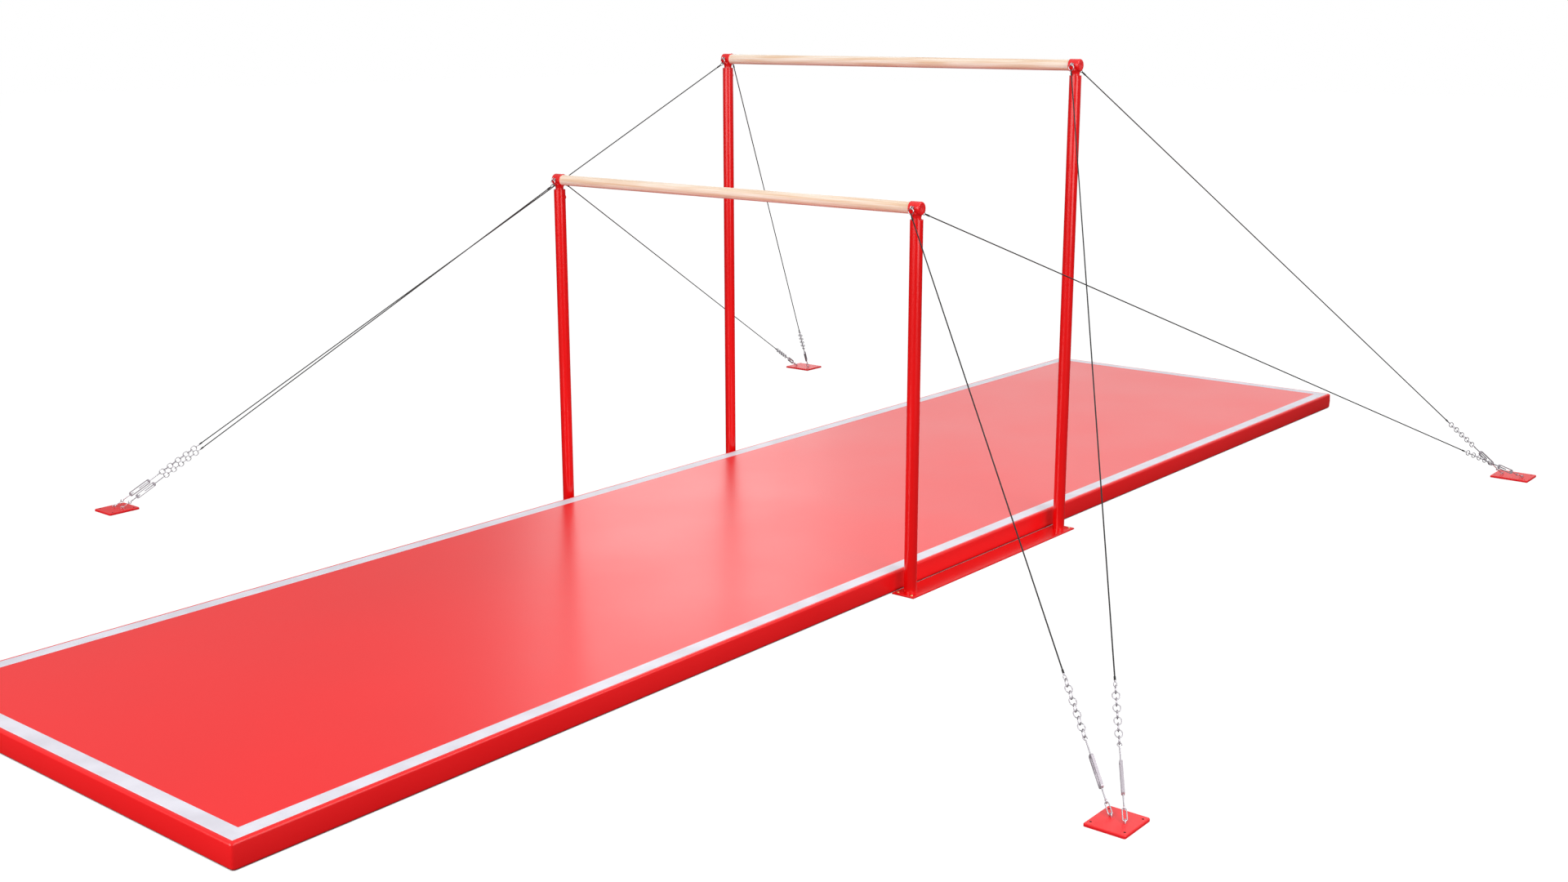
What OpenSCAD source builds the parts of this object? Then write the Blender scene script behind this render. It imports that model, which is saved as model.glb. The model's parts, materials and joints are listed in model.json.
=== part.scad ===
// Uneven bars on telescopic uprights, with a landing mat and eight guy lines.
// X runs along the rails, Y along the mat from the low bar to the high bar, Z is up.
// The origin is on the floor, under the middle of the mat.

/* [Layout] */
// Distance between the two uprights of one bar
upright_spacing = 2400; // [2200:10:2900]
// Distance from the low bar to the high bar, seen from above
bar_gap = 1434; // [1000:2:1800]
// How far the middle between the bars lies in front of the mat's middle
bars_forward = 98; // [0:2:500]
// Height of the low bar's axis at its lowest setting
low_bar_height = 1897; // [1500:1:2280]
// Height of the high bar's axis at its lowest setting
high_bar_height = 2526; // [2000:1:3030]
// How far each bar can be raised
lift_travel = 100; // [0:5:100]

/* [Mat] */
// Length of the mat
mat_length = 9265; // [6000:5:12000]
// Gap between the mat's sides and the base plates
mat_side_gap = 5.5; // [2:0.5:40]
// Thickness of the mat without its border tape
mat_thickness = 102.4; // [60:0.2:200]
// Thickness of the mat's coated cover
cover_wall = 3; // [1:0.5:6]
// Chamfer along the mat's upper edges
mat_edge = 8; // [5:1:15]
// Number of foam blocks in the mat
foam_blocks = 5; // [1:1:9]
// Distance from the mat's edge to the border tape
tape_inset = 20; // [16:1:60]
// Width of the border tape
tape_width = 70; // [20:1:150]
// Thickness of the border tape
tape_thickness = 0.6; // [0.4:0.1:2]

/* [Uprights and base] */
// Outer diameter of the upright tubes
upright_od = 63.5; // [58:0.5:80]
// Wall of the upright tubes
upright_wall = 4.5; // [3:0.5:6]
// Outer diameter of the sliding stem tubes
stem_od = 44; // [38:0.5:46]
// Wall of the stem tubes
stem_wall = 4.5; // [3:0.5:6]
// Length of stem inside the upright at the lowest setting
stem_insert = 420; // [300:5:600]
// Drop from the bar's axis to the top of the upright tube
upright_top_drop = 52; // [50:0.5:70]
// Length of the guide bush in the top of each upright
bush_length = 90; // [60:5:140]
// Width of the base plates
base_width = 129; // [110:1:160]
// Overhang of a base plate past the uprights' axes
base_overhang = 65; // [60:1:120]
// Thickness of the base plates
base_thickness = 8; // [6:0.5:15]
// Distance between the two bolts at a base plate's end
base_bolt_spacing = 80; // [60:1:95]
// Distance from the end bolts to the end of the plate
base_bolt_inset = 20; // [14:1:24]
// Outer diameter of the clamp screw's boss
clamp_boss_od = 24; // [20:1:30]
// Length of the clamp screw's boss
clamp_boss_length = 6; // [4:1:12]
// Diameter of the clamp screw
clamp_screw_d = 12; // [8:1:14]
// Height of the foot spigot inside each upright
spigot_height = 60; // [30:5:120]

/* [Rails and heads] */
// Diameter of the rails
rail_od = 57; // [40:0.5:58]
// Diameter of the glass-fibre core
rail_core_od = 24; // [16:1:30]
// Diameter of the head's barrel
head_od = 66; // [66:0.5:80]
// Reach of the barrel toward the rail, from the upright's axis
head_inner = 30; // [26:1:40]
// Reach of the barrel outward, from the upright's axis
head_outer = 31; // [28:1:45]
// Rounding of the barrel's outer rim
head_rim = 8; // [2:0.5:10]
// How far the neck flares out under the barrel
neck_flare = 7; // [3:0.5:7]
// Height of the neck's flare
neck_flare_rise = 19; // [12:1:24]
// Depth of the rail's socket in the barrel
socket_depth = 40; // [30:1:42]
// Diameter of the end cap
cap_od = 38; // [30:1:44]
// Depth of the end cap's seat
cap_seat = 4; // [3:0.5:5]
// Diameter of the rail bolt
rail_bolt_d = 10; // [8:1:12]
// Length of the rail bolt inside the rail
rail_bolt_reach = 60; // [30:5:90]

/* [Head eyes] */
// Wire diameter of the eyebolt's loop
eye_wire = 5; // [4:0.5:6]
// Mean radius of the eyebolt's loop
eye_radius = 8; // [7:0.5:10]
// Diameter of the eyebolt's flange
eye_flange_d = 14; // [11:0.5:18]
// Height of the eyebolt over the bar's axis
eye_rise = 5; // [0:0.5:8]
// Diameter of the eyebolt's shank
eye_shank_d = 8; // [6:0.5:10]
// Wire diameter of the loose ring
ring_wire = 4; // [3:0.5:4.5]
// Mean radius of the loose ring
ring_radius = 14.5; // [12:0.5:18]

/* [Anchor plates] */
// Distance of the front plates from the middle, along X
front_plate_x = 3235; // [2900:5:3600]
// Distance of the front plates in front of the middle, along Y
front_plate_y = 2456; // [2000:2:2800]
// Size of the front plates along X
front_plate_width = 167; // [160:1:240]
// Size of the front plates along Y
front_plate_depth = 188; // [180:1:240]
// Distance of the back plates from the middle, along X
back_plate_x = 2804; // [2500:2:3200]
// Distance of the back plates behind the middle, along Y
back_plate_y = 3400; // [2900:5:3800]
// Size of the back plates along X
back_plate_width = 223; // [214:1:280]
// Size of the back plates along Y
back_plate_depth = 189; // [180:1:240]
// Thickness of the anchor plates
plate_thickness = 12; // [8:1:20]
// Rounding of the anchor plates' corners
plate_corner = 8; // [6:1:14]
// Chamfer of the anchor plates' upper edges
plate_chamfer = 3; // [1:0.5:4]
// Diameter of the bolt holes in the anchor plates
plate_hole_d = 9; // [7:0.5:14]
// Hole spacing of the front plates, both ways
front_hole_spacing = 134; // [120:1:140]
// Hole spacing of the back plates along X
back_hole_spacing_x = 174; // [160:1:190]
// Hole spacing of the back plates along Y
back_hole_spacing_y = 138; // [120:1:150]

/* [Guy lines] */
// Diameter of the coated steel rope
rope_d = 6; // [5:0.5:8]
// Wire diameter of the staples on the anchor plates
staple_wire = 5; // [4:0.5:6]
// Mean radius of the staples
staple_radius = 8; // [7:0.5:10]
// Wire diameter of hooks, long links and chain links
link_wire = 4.5; // [3.5:0.5:5]
// Outer width of the long link at the plate
long_link_width = 20; // [18:1:26]
// Pitch of the long link
long_link_pitch = 46; // [36:1:60]
// Mean radius of the C hooks
hook_radius = 8; // [7:0.5:10]
// Diameter of the threaded rods
rod_d = 6; // [5:0.5:8]
// Length of the turnbuckle frame
frame_length = 138; // [130:1:180]
// Width of the turnbuckle frame
frame_width = 26; // [22:1:34]
// Depth of the turnbuckle frame
frame_depth = 11; // [9:0.5:14]
// Thickness of the frame's side bars
frame_bar = 4.5; // [3:0.5:6]
// Thickness of the frame's end walls
frame_end = 10; // [8:1:14]
// Distance along the line from the plate's staple to the turnbuckle
frame_start = 107; // [95:1:130]
// Length of the lower rod inside the turnbuckle
lower_rod_grip = 25; // [14:1:30]
// Share of the lift that draws the upper rod out of the turnbuckle
rod_draw_share = 0.65; // [0.65:0.01:0.8]
// Free length of the upper rod between the turnbuckle and its hook
upper_rod_free = 61; // [40:1:90]
// Number of chain links
chain_links = 9; // [5:2:13]
// Pitch of the chain
chain_pitch = 28; // [24:1:34]
// Outer width of the chain links
chain_width = 32; // [28:1:40]
// Wire diameter of the rope's terminal eyes
terminal_wire = 3.5; // [3:0.5:4]
// Outer width of the terminal eyes
terminal_width = 16; // [15:1:20]
// Straight length of the terminal eyes
terminal_straight = 8; // [4:1:14]
// Diameter of the sleeves on the rope's ends
sleeve_d = 9; // [8:0.5:12]
// Length of the sleeves on the rope's ends
sleeve_length = 18; // [10:1:30]

/* [Fits] */
// Radial clearance of parts that run or slide in one another
running_clearance = 0.05; // [0.02:0.01:0.1]
// Gap between loose links and soft parts that rest on each other
loose_gap = 0.3; // [0.2:0.05:0.5]
// Radial clearance of bolts in their holes
bolt_clearance = 0.2; // [0.1:0.05:0.5]
// Gap of the rope's loop around the head's ring
open_pivot_gap = 0.6; // [0.4:0.1:1]

/* [Hidden] */
$fn = 48;

LINES = [
    ["low_left_front", -1, 0, -1], ["low_right_front", 1, 0, -1],
    ["low_left_back", -1, 0, 1], ["low_right_back", 1, 0, 1],
    ["high_left_front", -1, 1, -1], ["high_right_front", 1, 1, -1],
    ["high_left_back", -1, 1, 1], ["high_right_back", 1, 1, 1]
];

SIDES = [-1, 1];
half_spacing = upright_spacing / 2;
mat_width = upright_spacing - base_width - 2 * mat_side_gap;
low_bar_y = -bars_forward - bar_gap / 2;
high_bar_y = -bars_forward + bar_gap / 2;
upright_id = upright_od - 2 * upright_wall;
stem_id = stem_od - 2 * stem_wall;
neck_drop = upright_top_drop - 6;
clamp_drop = bush_length / 2;
cut = 1;

// End wall of the barrel, and the bolt head's counterbore in it
socket_floor = socket_depth - head_inner;
rail_end = half_spacing + socket_floor - loose_gap;
bolt_head_d = 1.6 * rail_bolt_d;
bolt_head_h = 0.6 * rail_bolt_d;
bolt_seat = head_outer - cap_seat - bolt_head_h - 1;

// Eyebolt and ring, measured outward from the upright's axis
eye_seat = head_od / 2 - 2;
eye_reach = head_od / 2 + 2 + eye_radius + eye_wire / 2;
ring_pull = (eye_radius - eye_wire / 2 - ring_wire / 2 - loose_gap) / sqrt(2);
ring_reach = eye_reach + ring_pull;
ring_centre_rise = eye_rise - ring_pull - ring_radius;
ring_bottom_rise = ring_centre_rise - ring_radius;

// Staples, measured from the anchor plate's top
staple_leg = 4;
link_sag = staple_radius - staple_wire / 2 - link_wire / 2 - loose_gap;
front_eye_x = 32;
front_eye_y = [15, 1];
back_eye_x = 60;
back_eye_y = [-20, -20];

// Stations along a guy line, from the long link's foot upward
hook_bottom = long_link_pitch - loose_gap;
hook_centre = hook_bottom + hook_radius;
hook_top = hook_centre + hook_radius;
frame_stop = frame_start + frame_length;
lower_rod_tip = frame_start + lower_rod_grip;
upper_rod_tip = frame_stop - frame_end - rod_draw_share * lift_travel;
upper_hook_bottom = frame_stop + upper_rod_free;
upper_hook_centre = upper_hook_bottom + hook_radius;
upper_hook_top = upper_hook_centre + hook_radius;
chain_start = upper_hook_top - link_wire - loose_gap;
chain_step = chain_pitch - loose_gap;
chain_end = chain_start + (chain_links - 1) * chain_step + chain_pitch + link_wire;
terminal_mean = (terminal_width - terminal_wire) / 2;
terminal_start = chain_end - (link_wire + terminal_wire) / 2 - loose_gap;
ferrule_d = 7.5;
terminal_length = 2 * terminal_mean + terminal_straight + 8;
rope_start = terminal_start + terminal_length;

function bar_y(high) = high == 0 ? low_bar_y : high_bar_y;
function bar_z(high) = high == 0 ? low_bar_height : high_bar_height;
function unit(v) = v / norm(v);

// Lower wire of the head's ring, where a line's loop takes hold
function line_head(l) = [
    l[1] * half_spacing,
    bar_y(l[2]) + l[3] * ring_reach,
    bar_z(l[2]) + ring_bottom_rise
];

// Middle of a line's staple
function line_staple(l) =
    let(outward = l[3] < 0 ? (l[2] == 0 ? -1 : 1) : (l[2] == 0 ? 1 : -1))
    l[3] < 0
        ? [l[1] * (front_plate_x + outward * front_eye_x), front_eye_y[l[2]] - front_plate_y,
           plate_thickness + staple_leg]
        : [l[1] * (back_plate_x + outward * back_eye_x), back_eye_y[l[2]] + back_plate_y,
           plate_thickness + staple_leg];

// Foot of a line, where the long link's wire bears under the staple
function line_foot(l) =
    let(staple = line_staple(l))
    staple + link_sag * unit(line_head(l) - staple);

function line_length(l) = norm(line_head(l) - line_foot(l));
function line_direction(l) = unit(line_head(l) - line_foot(l));
function line_azimuth(l) = atan2(line_direction(l).y, line_direction(l).x);
function line_tilt(l) = acos(line_direction(l).z);

// Turn about the line that squares its upper loop to the ring's lower wire
function loop_turn(l) = atan2(-sin(line_azimuth(l)), cos(line_azimuth(l)) * cos(line_tilt(l)));

// How far the upper loop's end lies past the ring's wire
function loop_past(l) =
    ((ring_wire + terminal_wire) / 2 + open_pivot_gap) / sqrt(1 - pow(line_direction(l).x, 2));

// Places children on a line: +Z up the line, the line's upright plane is XZ
module on_line(l) {
    translate(line_foot(l))
        rotate([0, line_tilt(l), line_azimuth(l)])
            children();
}

// Copies children to both ends of a bar, mirrored about its middle
module at_both_ends(y, z) {
    for (side = SIDES)
        translate([side * half_spacing, y, z])
            mirror([side < 0 ? 1 : 0, 0, 0])
                children();
}

// Round-ended closed link in the YZ plane, its lower wire's centre at the origin
module link(wire, width, pitch) {
    mean = (width - wire) / 2;
    straight = pitch + wire - 2 * mean;
    translate([0, 0, mean]) {
        for (up = [0, 1])
            translate([0, 0, up * straight])
                rotate([90, 0, 90])
                    rotate([0, 0, up == 1 ? 0 : 180])
                        rotate_extrude(angle = 180)
                            translate([mean, 0])
                                circle(d = wire);
        for (side = SIDES)
            translate([0, side * mean, 0])
                cylinder(d = wire, h = straight);
    }
}

// C hook in the XZ plane around the origin, open on its -X side next to the rod below it
module c_hook(radius, wire) {
    rotate([90, 0, 0])
        rotate([0, 0, -90])
            rotate_extrude(angle = 285)
                translate([radius, 0])
                    circle(d = wire);
}

// Flat plate with chamfered upper edges, centred, standing on Z = 0
module chamfered_plate(width, depth, thickness, chamfer) {
    intersection() {
        rotate([90, 0, 0])
            linear_extrude(height = depth, center = true)
                chamfered_profile(width, thickness, chamfer);
        rotate([90, 0, 90])
            linear_extrude(height = width, center = true)
                chamfered_profile(depth, thickness, chamfer);
    }
}

module chamfered_profile(width, thickness, chamfer) {
    polygon([
        [-width / 2, 0], [width / 2, 0],
        [width / 2, thickness - chamfer], [width / 2 - chamfer, thickness],
        [-width / 2 + chamfer, thickness], [-width / 2, thickness - chamfer]
    ]);
}

// --- Landing mat ---

module mat_cover() {
    color("#e8383d")
        difference() {
            chamfered_plate(mat_width, mat_length, mat_thickness, mat_edge);
            mat_inside(cover_wall);
        }
}

// Space inside the mat, a distance in from its outside
module mat_inside(inset) {
    translate([0, 0, inset])
        chamfered_plate(mat_width - 2 * inset, mat_length - 2 * inset,
                        mat_thickness - 2 * inset, mat_edge - (2 - sqrt(2)) * inset);
}

module mat_foam_core() {
    inset = cover_wall + loose_gap;
    core_length = mat_length - 2 * inset;
    block = (core_length + loose_gap) / foam_blocks;
    color("#e9d9a0")
        for (i = [0 : foam_blocks - 1])
            intersection() {
                mat_inside(inset);
                translate([-mat_width / 2, -core_length / 2 + i * block, 0])
                    cube([mat_width, block - loose_gap, mat_thickness]);
            }
}

module mat_border_tape() {
    outer = [mat_width - 2 * tape_inset, mat_length - 2 * tape_inset];
    inner = [outer.x - 2 * tape_width, outer.y - 2 * tape_width];
    color("#e8e6ee")
        translate([0, 0, mat_thickness])
            linear_extrude(height = tape_thickness)
                difference() {
                    square(outer, center = true);
                    square(inner, center = true);
                }
}

// --- Base plates and uprights ---

base_bolt_d = 8;
base_bolt_head_d = 14;
base_bolt_head_h = 4.5;
base_length = bar_gap + 2 * base_overhang;

module at_base_bolts(side) {
    for (end = SIDES, row = SIDES)
        translate([side * half_spacing + row * base_bolt_spacing / 2,
                   -bars_forward + end * (base_length / 2 - base_bolt_inset), 0])
            children();
}

module base_plate(side) {
    color("#d41216")
        difference() {
            translate([side * half_spacing, -bars_forward, 0])
                chamfered_plate(base_width, base_length, base_thickness, base_thickness / 2);
            at_base_bolts(side)
                translate([0, 0, -cut])
                    cylinder(d = base_bolt_d + 2 * bolt_clearance, h = base_thickness + 2 * cut);
        }
}

module base_plate_left() {
    base_plate(-1);
}

module base_plate_right() {
    base_plate(1);
}

module base_plate_bolts() {
    color("#e6c27a")
        for (side = SIDES)
            at_base_bolts(side) {
                translate([0, 0, loose_gap])
                    cylinder(d = base_bolt_d, h = base_thickness);
                translate([0, 0, base_thickness])
                    button_head(base_bolt_head_d, base_bolt_head_h);
            }
}

// Low domed screw head, standing on Z = 0
module button_head(diameter, height) {
    dome = (pow(diameter / 2, 2) + pow(height, 2)) / (2 * height);
    intersection() {
        cylinder(d = diameter, h = height);
        translate([0, 0, height - dome])
            sphere(r = dome, $fn = 96);
    }
}

module foot_spigots() {
    color("#b01014")
        for (high = [0, 1], side = SIDES)
            translate([side * half_spacing, bar_y(high), base_thickness])
                difference() {
                    cylinder(d = upright_id - 2 * running_clearance, h = spigot_height);
                    translate([0, 0, -cut])
                        cylinder(d = upright_id - 2 * upright_wall, h = spigot_height + 2 * cut);
                }
}

// Tube with the clamp screw's boss on its back, which faces +Y
module upright(top) {
    clamp_z = top - clamp_drop;
    difference() {
        union() {
            translate([0, 0, base_thickness])
                cylinder(d = upright_od, h = top - base_thickness);
            translate([0, 0, clamp_z])
                rotate([-90, 0, 0])
                    cylinder(d = clamp_boss_od, h = upright_od / 2 + clamp_boss_length);
        }
        translate([0, 0, base_thickness - cut])
            cylinder(d = upright_id, h = top - base_thickness + 2 * cut);
        clamp_bore(clamp_z);
    }
}

module clamp_bore(clamp_z) {
    translate([0, 0, clamp_z])
        rotate([-90, 0, 0])
            cylinder(d = clamp_screw_d + 2 * bolt_clearance, h = upright_od);
}

module uprights(high) {
    color("#d41216")
        for (side = SIDES)
            translate([side * half_spacing, bar_y(high), 0])
                upright(bar_z(high) - upright_top_drop);
}

module uprights_low() {
    uprights(0);
}

module uprights_high() {
    uprights(1);
}

module guide_bushes() {
    color("#2a1416")
        for (high = [0, 1], side = SIDES)
            translate([side * half_spacing, bar_y(high), bar_z(high) - upright_top_drop])
                difference() {
                    translate([0, 0, -bush_length])
                        cylinder(d = upright_id - 2 * running_clearance, h = bush_length - 1);
                    translate([0, 0, -bush_length - cut])
                        cylinder(d = stem_od + 2 * running_clearance, h = bush_length + 2 * cut);
                    clamp_bore(-clamp_drop);
                }
}

// Set screws with a hexagon socket; each tip stops just short of the stem
module height_clamp_screws() {
    tip = stem_od / 2 + loose_gap;
    length = upright_od / 2 + clamp_boss_length + 1.5 - tip;
    color("#8f9296")
        for (high = [0, 1], side = SIDES)
            translate([side * half_spacing, bar_y(high) + tip,
                       bar_z(high) - upright_top_drop - clamp_drop])
                rotate([-90, 0, 0])
                    difference() {
                        cylinder(d = clamp_screw_d, h = length);
                        translate([0, 0, length - clamp_screw_d / 2])
                            cylinder(d = clamp_screw_d / 2, h = clamp_screw_d, $fn = 6);
                    }
}

// --- Anchor plates ---

module anchor_plate(width, depth, hole_x, hole_y) {
    difference() {
        union() {
            for (sx = SIDES, sy = SIDES)
                translate([sx * (width / 2 - plate_corner), sy * (depth / 2 - plate_corner), 0])
                    rotate_extrude()
                        polygon([
                            [0, 0], [plate_corner, 0],
                            [plate_corner, plate_thickness - plate_chamfer],
                            [plate_corner - plate_chamfer, plate_thickness],
                            [0, plate_thickness]
                        ]);
            rotate([90, 0, 0])
                linear_extrude(height = depth - 2 * plate_corner, center = true)
                    chamfered_profile(width, plate_thickness, plate_chamfer);
            rotate([90, 0, 90])
                linear_extrude(height = width - 2 * plate_corner, center = true)
                    chamfered_profile(depth, plate_thickness, plate_chamfer);
        }
        for (sx = SIDES, sy = SIDES)
            translate([sx * hole_x / 2, sy * hole_y / 2, -cut])
                cylinder(d = plate_hole_d, h = plate_thickness + 2 * cut);
    }
}

module anchor_plates_front() {
    color("#f04248")
        for (side = SIDES)
            translate([side * front_plate_x, -front_plate_y, 0])
                anchor_plate(front_plate_width, front_plate_depth,
                             front_hole_spacing, front_hole_spacing);
}

module anchor_plates_back() {
    color("#f04248")
        for (side = SIDES)
            translate([side * back_plate_x, back_plate_y, 0])
                anchor_plate(back_plate_width, back_plate_depth,
                             back_hole_spacing_x, back_hole_spacing_y);
}

// Arches in the upright plane of each line, welded on the plates
module anchor_staples() {
    color("#b9b6bd")
        for (l = LINES)
            translate(line_staple(l))
                rotate([0, 0, line_azimuth(l)]) {
                    rotate([90, 0, 0])
                        rotate_extrude(angle = 180)
                            translate([staple_radius, 0])
                                circle(d = staple_wire);
                    for (side = SIDES)
                        translate([side * staple_radius, 0, -staple_leg])
                            cylinder(d = staple_wire, h = staple_leg);
                }
}

// --- Rails and heads ---

module rail(high) {
    color("#f2d9b8")
        translate([0, bar_y(high), bar_z(high)])
            rotate([0, 90, 0])
                difference() {
                    cylinder(d = rail_od, h = 2 * rail_end, center = true);
                    cylinder(d = rail_core_od + 2 * running_clearance,
                             h = 2 * rail_end + 2 * cut, center = true);
                }
}

module rail_core(high) {
    core_end = rail_end - 2;
    color("#cfd3c0")
        translate([0, bar_y(high), bar_z(high)])
            rotate([0, 90, 0])
                difference() {
                    cylinder(d = rail_core_od, h = 2 * core_end, center = true);
                    for (side = SIDES)
                        translate([0, 0, side * core_end])
                            cylinder(d = rail_bolt_d + 2 * bolt_clearance,
                                     h = 2 * rail_bolt_reach, center = true);
                }
}

// Outline of the barrel, for turning about the rail's axis
module barrel_outline() {
    difference() {
        translate([0, -head_inner])
            square([head_od / 2, head_inner + head_outer]);
        translate([head_od / 2 - head_rim, head_outer - head_rim])
            difference() {
                square(head_rim + cut);
                circle(r = head_rim);
            }
    }
}

// Outline of the flared neck under the barrel, for turning about the upright's axis
module neck_outline() {
    flare = (pow(neck_flare_rise, 2) + pow(neck_flare, 2)) / (2 * neck_flare);
    difference() {
        translate([0, -neck_drop])
            square([stem_od / 2 + neck_flare, neck_drop]);
        translate([stem_od / 2 + flare, 1 - neck_drop])
            circle(r = flare, $fn = 120);
    }
}

// Head casting of the right end: barrel along X, neck below, spigot for the stem
module head() {
    spigot_depth = 30;
    difference() {
        union() {
            rotate([0, 90, 0])
                rotate_extrude()
                    barrel_outline();
            rotate_extrude()
                neck_outline();
            translate([0, 0, -neck_drop - spigot_depth])
                cylinder(d = stem_id - 2 * running_clearance, h = spigot_depth + cut);
        }
        translate([-head_inner - cut, 0, 0])
            rotate([0, 90, 0])
                cylinder(d = rail_od + 2 * running_clearance, h = socket_depth + cut);
        translate([head_outer - cap_seat, 0, 0])
            rotate([0, 90, 0])
                cylinder(d = cap_od + 2 * running_clearance, h = cap_seat + cut);
        translate([bolt_seat, 0, 0])
            rotate([0, 90, 0])
                cylinder(d = bolt_head_d + 2 * bolt_clearance, h = head_outer);
        rotate([0, 90, 0])
            cylinder(d = rail_bolt_d + 2 * bolt_clearance, h = head_outer);
        for (side = SIDES)
            translate([0, 0, eye_rise])
                rotate([-90 * side, 0, 0]) {
                    cylinder(d = eye_shank_d + 2 * bolt_clearance, h = head_od);
                    translate([0, 0, eye_seat])
                        cylinder(d = eye_flange_d + 2 * bolt_clearance, h = head_od);
                }
    }
}

module heads(high) {
    color("#d8262a")
        at_both_ends(bar_y(high), bar_z(high))
            head();
}

module stems(high) {
    length = stem_insert + upright_top_drop - neck_drop;
    color("#c81a1e")
        at_both_ends(bar_y(high), bar_z(high) - neck_drop)
            translate([0, 0, -length])
                difference() {
                    cylinder(d = stem_od, h = length);
                    translate([0, 0, -cut])
                        cylinder(d = stem_id, h = length + 2 * cut);
                }
}

module rail_bolts(high) {
    shank = bolt_seat - socket_floor + rail_bolt_reach - 4;
    color("#9b9da1")
        at_both_ends(bar_y(high), bar_z(high))
            translate([bolt_seat, 0, 0])
                rotate([0, 90, 0]) {
                    difference() {
                        cylinder(d = bolt_head_d, h = bolt_head_h);
                        translate([0, 0, bolt_head_h / 2])
                            cylinder(d = 0.8 * rail_bolt_d, h = bolt_head_h, $fn = 6);
                    }
                    translate([0, 0, -shank])
                        cylinder(d = rail_bolt_d, h = shank);
                }
}

// Round plugs with a shallow dish, seated in the heads' outer faces
module head_caps(high) {
    dish = 60;
    color("#ee2a2e")
        at_both_ends(bar_y(high), bar_z(high))
            translate([head_outer - cap_seat, 0, 0])
                rotate([0, 90, 0])
                    difference() {
                        cylinder(d = cap_od, h = cap_seat - 0.5);
                        translate([0, 0, cap_seat + dish - 2.2])
                            sphere(r = dish, $fn = 96);
                    }
}

// Eyebolt with its loop in the YZ plane, and the loose ring that hangs in it
module head_eye() {
    inner_end = (rail_od / 2 + eye_seat) / 2;
    translate([0, 0, eye_rise]) {
        rotate([-90, 0, 0])
            translate([0, 0, inner_end])
                cylinder(d = eye_shank_d, h = eye_reach - eye_radius - inner_end);
        rotate([-90, 0, 0])
            translate([0, 0, eye_seat])
                cylinder(d = eye_flange_d, h = head_od / 2 + 3 - eye_seat);
        translate([0, eye_reach, 0])
            rotate([90, 0, 90])
                rotate_extrude()
                    translate([eye_radius, 0])
                        circle(d = eye_wire);
    }
    translate([0, ring_reach, ring_centre_rise])
        rotate([90, 0, 0])
            rotate_extrude()
                translate([ring_radius, 0])
                    circle(d = ring_wire);
}

module head_eyes(high) {
    color("#cfccd2")
        at_both_ends(bar_y(high), bar_z(high))
            for (front = [0, 1])
                mirror([0, front, 0])
                    head_eye();
}

module low_rail() {
    rail(0);
}

module low_rail_core() {
    rail_core(0);
}

module low_heads() {
    heads(0);
}

module low_stems() {
    stems(0);
}

module low_rail_bolts() {
    rail_bolts(0);
}

module low_head_caps() {
    head_caps(0);
}

module low_head_eyes() {
    head_eyes(0);
}

module high_rail() {
    rail(1);
}

module high_rail_core() {
    rail_core(1);
}

module high_heads() {
    heads(1);
}

module high_stems() {
    stems(1);
}

module high_rail_bolts() {
    rail_bolts(1);
}

module high_head_caps() {
    head_caps(1);
}

module high_head_eyes() {
    head_eyes(1);
}

// --- Guy lines ---

// Terminal eye with its ferrule in the YZ plane, the outer end's wire at the origin
module terminal_eye() {
    wires = 2 * terminal_mean + terminal_straight;
    link(terminal_wire, terminal_width, wires - terminal_wire);
    translate([0, 0, wires])
        cylinder(d = ferrule_d, h = terminal_length - wires);
}

// Coated rope with a sleeve at each end, and the loop that takes the head's ring
module guy_rope(l) {
    loop_end = line_length(l) + loop_past(l);
    rope_end = loop_end - terminal_length;
    color("#1a1c1c")
        on_line(l) {
            translate([0, 0, rope_start])
                cylinder(d = rope_d, h = rope_end - rope_start + 2);
            translate([0, 0, rope_start])
                cylinder(d = sleeve_d, h = sleeve_length);
            translate([0, 0, rope_end - sleeve_length])
                cylinder(d = sleeve_d, h = sleeve_length + 2);
            translate([0, 0, loop_end])
                rotate([0, 180, loop_turn(l)])
                    terminal_eye();
        }
}

// Upper rod with its hook, the chain, and the rope's lower terminal eye
module guy_chain(l) {
    color("#c3bfc6")
        on_line(l) {
            translate([0, 0, upper_rod_tip])
                cylinder(d = rod_d, h = upper_hook_bottom - upper_rod_tip);
            translate([0, 0, upper_hook_centre])
                rotate([0, 0, 90])
                    c_hook(hook_radius, link_wire);
            for (i = [0 : chain_links - 1])
                translate([0, 0, chain_start + i * chain_step])
                    rotate([0, 0, i % 2 == 0 ? 90 : 0])
                        link(link_wire, chain_width, chain_pitch);
            translate([0, 0, terminal_start])
                terminal_eye();
        }
}

// Open frame with a threaded end wall for each rod
module turnbuckle(l) {
    corner = 8;
    window = [frame_width - 2 * frame_bar, frame_length - 2 * frame_end];
    color("#b7b0b8")
        on_line(l)
            translate([0, 0, frame_start + frame_length / 2])
                difference() {
                    rotate([90, 0, 0])
                        linear_extrude(height = frame_depth, center = true)
                            difference() {
                                rounded_rectangle(frame_width, frame_length, corner);
                                rounded_rectangle(window.x, window.y, corner - frame_bar);
                            }
                    cylinder(d = rod_d + 2 * running_clearance,
                             h = frame_length + 2 * cut, center = true);
                }
}

module rounded_rectangle(width, height, radius) {
    square([width - 2 * radius, height], center = true);
    square([width, height - 2 * radius], center = true);
    for (sx = SIDES, sy = SIDES)
        translate([sx * (width / 2 - radius), sy * (height / 2 - radius)])
            circle(r = radius);
}

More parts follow.
